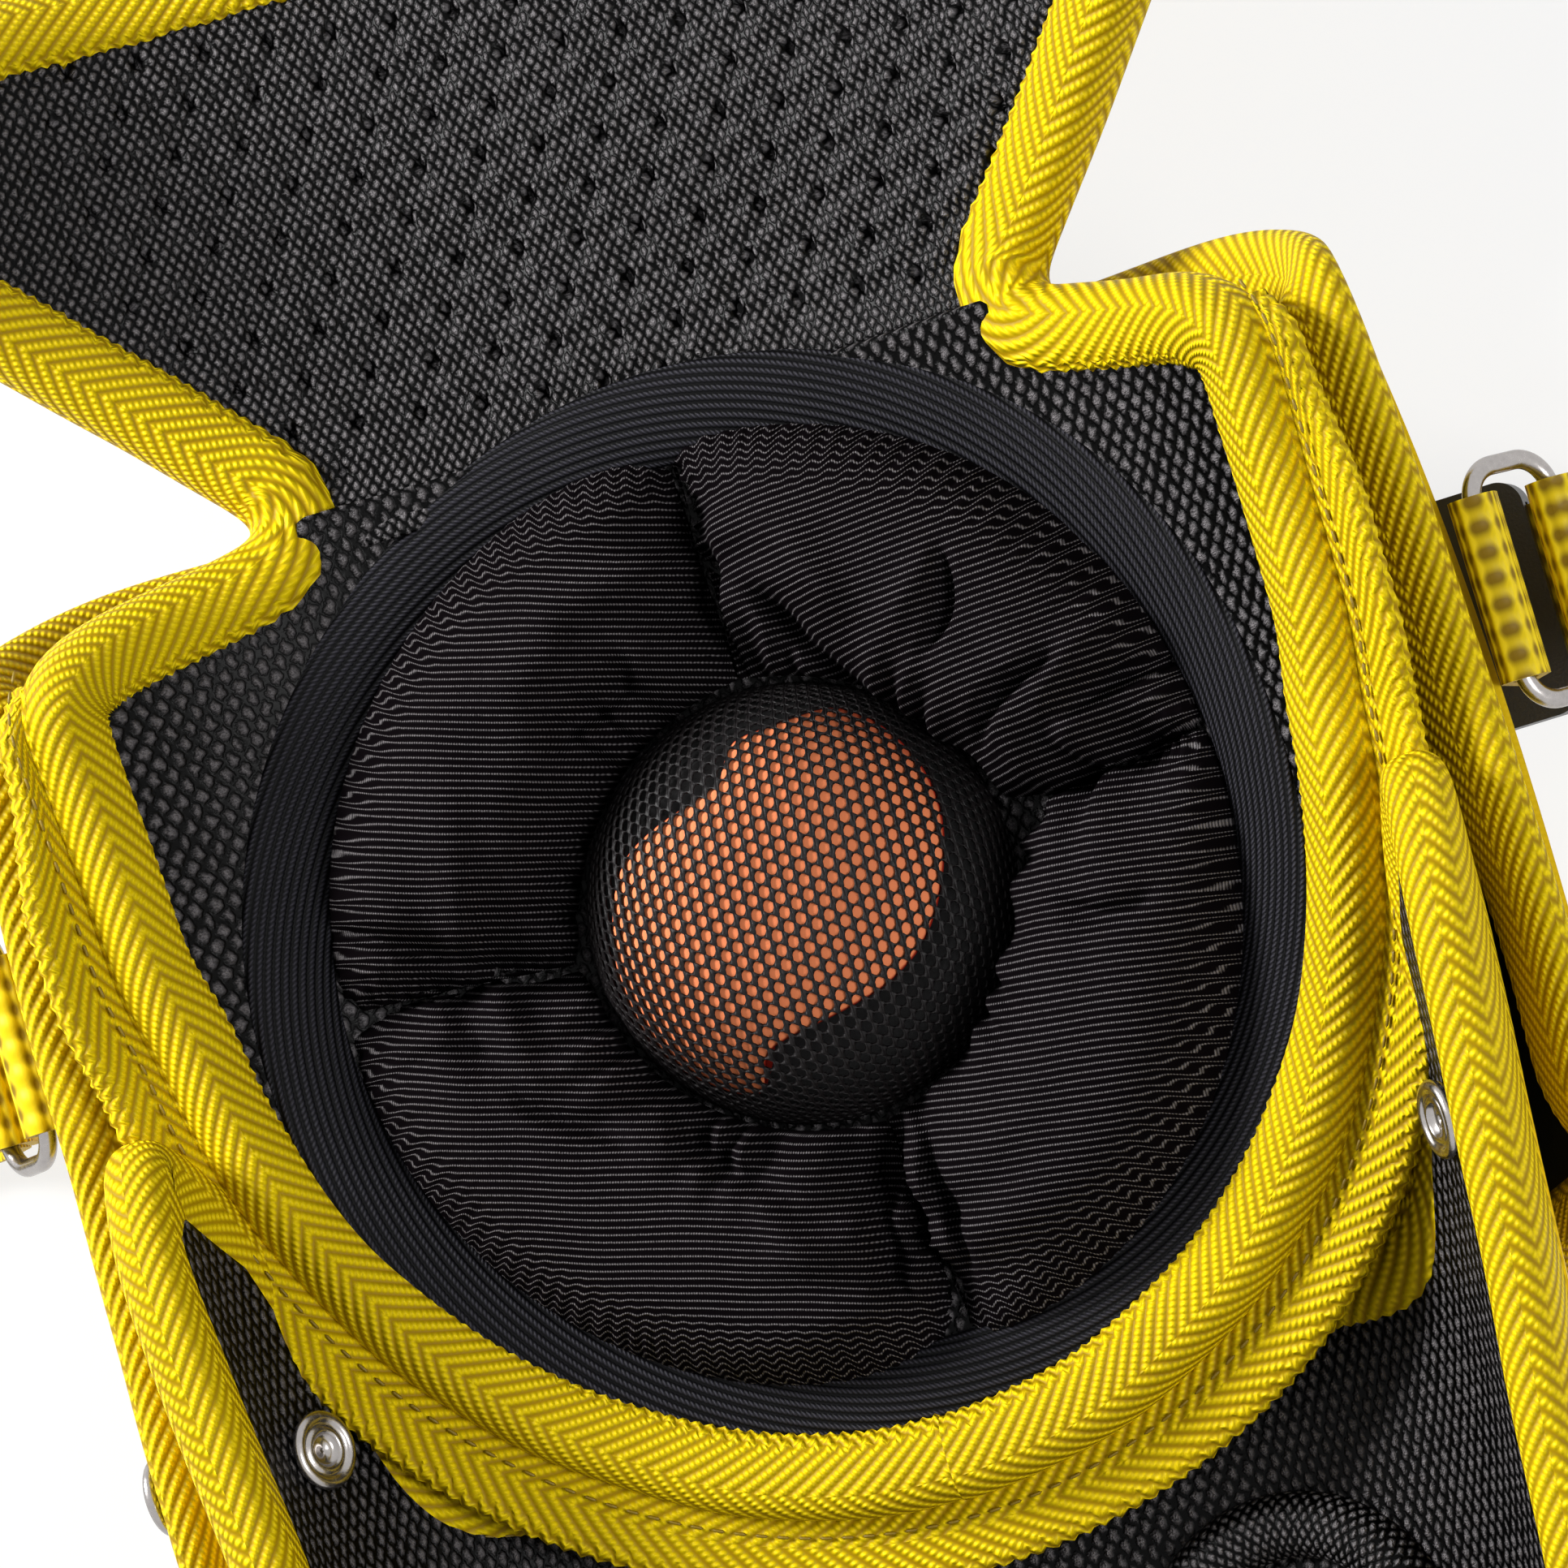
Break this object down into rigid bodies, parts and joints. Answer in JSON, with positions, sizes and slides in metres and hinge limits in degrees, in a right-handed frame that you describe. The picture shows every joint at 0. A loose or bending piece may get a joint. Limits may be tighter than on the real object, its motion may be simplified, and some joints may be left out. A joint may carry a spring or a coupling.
{
  "type": "knee and shin guard",
  "caption": "Padded knee and shin guard with a hinged thigh flap, gathered knee cushion, tape-bound edges and elastic straps with rings and a buckle.",
  "frame": {"origin": "on the floor under the middle of the knee cup, which is the cup's lowest point", "axes": "+X across the leg, +Y from the ankle towards the thigh, +Z from the floor towards the leg"},
  "size_m": [0.3453, 0.482, 0.0767],
  "materials": {
    "coated_cover": "smooth coated fabric, yellow",
    "shell_plastic": "moulded polypropylene, black",
    "yellow_tape": "herringbone binding tape, yellow",
    "foam": "closed-cell foam, black",
    "spacer_mesh": "warp-knit spacer mesh, black",
    "black_tape": "twill tape, black",
    "ribbed_faille": "ribbed faille, black",
    "open_mesh": "open hexagonal mesh, black",
    "orange_insert": "moulded impact foam, orange",
    "nickel_steel": "nickel-plated steel",
    "buckle_plastic": "moulded acetal, black",
    "yellow_webbing": "ribbed elastic webbing, yellow"
  },
  "bodies": {
    "shin": {"calf_ring_left": "nickel_steel", "calf_ring_right": "nickel_steel", "calf_ring_tab_left": "yellow_webbing", "calf_ring_tab_right": "yellow_webbing", "calf_strap": "yellow_webbing", "shin_binding": "yellow_tape", "shin_cover": "coated_cover", "shin_foam": "foam", "shin_lining": "spacer_mesh", "shin_pad_left": "spacer_mesh", "shin_pad_mesh_left": "spacer_mesh", "shin_pad_mesh_right": "spacer_mesh", "shin_pad_right": "spacer_mesh", "shin_shell": "shell_plastic"},
    "knee": {"cushion_lower_left": "ribbed_faille", "cushion_lower_right": "ribbed_faille", "cushion_ring_tape": "black_tape", "cushion_upper_left": "ribbed_faille", "cushion_upper_right": "ribbed_faille", "dome_foam": "foam", "dome_mesh": "open_mesh", "impact_insert": "orange_insert", "knee_core_foam": "foam", "knee_cover": "coated_cover", "knee_liner_binding": "yellow_tape", "knee_liner_foam": "foam", "knee_liner_mesh": "spacer_mesh", "knee_rim_binding": "yellow_tape", "knee_ring_tab_left": "yellow_webbing", "knee_ring_tab_right": "yellow_webbing", "knee_shell": "shell_plastic", "pivot_rivet_left": "nickel_steel", "pivot_rivet_right": "nickel_steel"},
    "thigh_flap": {"flap_binding": "yellow_tape", "flap_cover": "coated_cover", "flap_foam": "foam", "flap_lining": "spacer_mesh", "flap_shell": "shell_plastic"},
    "ring_left": {"knee_ring_left": "nickel_steel"},
    "ring_right": {"knee_ring_right": "nickel_steel"},
    "strap_left": {"knee_strap_left": "yellow_webbing", "buckle_left": "buckle_plastic", "strap_keeper": "buckle_plastic"},
    "strap_right": {"knee_strap_right": "yellow_webbing", "buckle_right": "buckle_plastic"}
  },
  "joints": [
    {"name": "knee_hinge", "type": "hinge", "parent": "shin", "child": "knee", "pos_m": [0, -0.053, 0.052], "axis": [1, 0, 0], "range_deg": [-3, 12]},
    {"name": "flap_hinge", "type": "hinge", "parent": "knee", "child": "thigh_flap", "pos_m": [0, 0.0693, 0.044], "axis": [1, 0, 0], "range_deg": [0, 50]},
    {"name": "ring_left_swing", "type": "hinge", "parent": "knee", "child": "ring_left", "pos_m": [-0.10684, 0.012, 0.05], "axis": [0, 1, 0], "range_deg": [-15, 60]},
    {"name": "ring_right_swing", "type": "hinge", "parent": "knee", "child": "ring_right", "pos_m": [0.10684, 0.012, 0.05], "axis": [0, 1, 0], "range_deg": [-60, 3]},
    {"name": "strap_left_swing", "type": "hinge", "parent": "ring_left", "child": "strap_left", "pos_m": [-0.11594, 0.012, 0.03989], "axis": [0, 1, 0], "range_deg": [-4, 80]},
    {"name": "strap_right_swing", "type": "hinge", "parent": "ring_right", "child": "strap_right", "pos_m": [0.11594, 0.012, 0.03989], "axis": [0, 1, 0], "range_deg": [-80, 0]}
  ]
}
